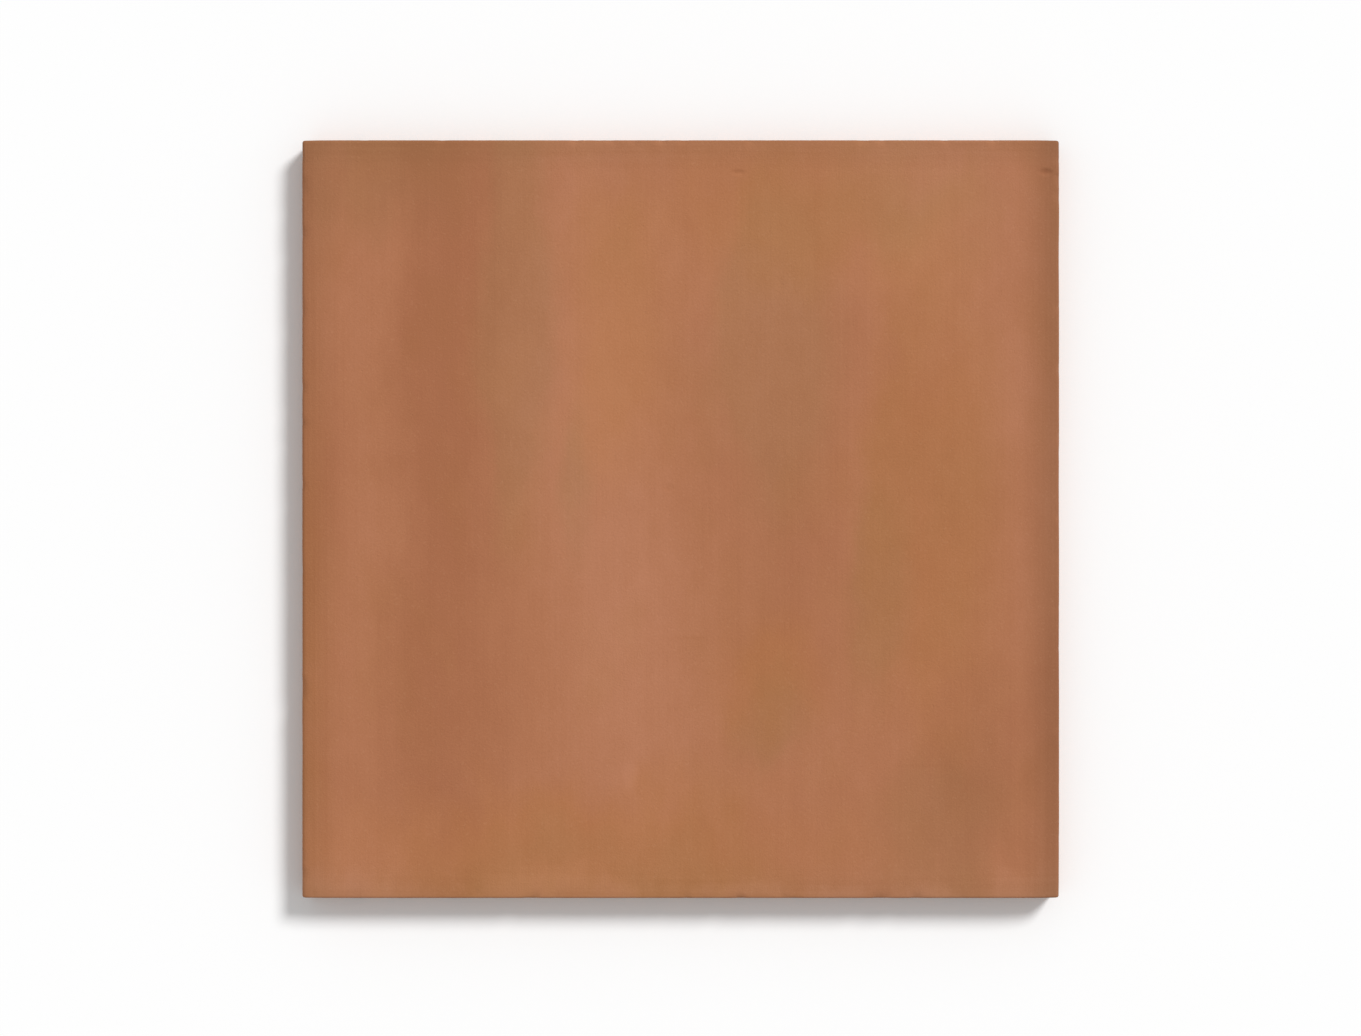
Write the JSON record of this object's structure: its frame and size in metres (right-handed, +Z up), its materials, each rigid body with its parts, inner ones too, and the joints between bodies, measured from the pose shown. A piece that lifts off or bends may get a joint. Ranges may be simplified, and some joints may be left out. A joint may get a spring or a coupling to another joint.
{
  "type": "floor tile",
  "caption": "Square extruded terracotta floor tile with rolled long edges, two cut ends and dovetail keying grooves along the bed.",
  "frame": {"origin": "middle of the bed, the side that goes down into the mortar, at the level of its ribs", "axes": "+Z up out of the walking face; Y along the clay column, the way its grooves and streaks run, from cut end to cut end; X across it, from rolled long edge to rolled long edge"},
  "size_m": [0.3, 0.3, 0.015],
  "materials": {
    "terracotta": "matte"
  },
  "bodies": {
    "root": {"floor_tile": "terracotta"}
  },
  "joints": []
}
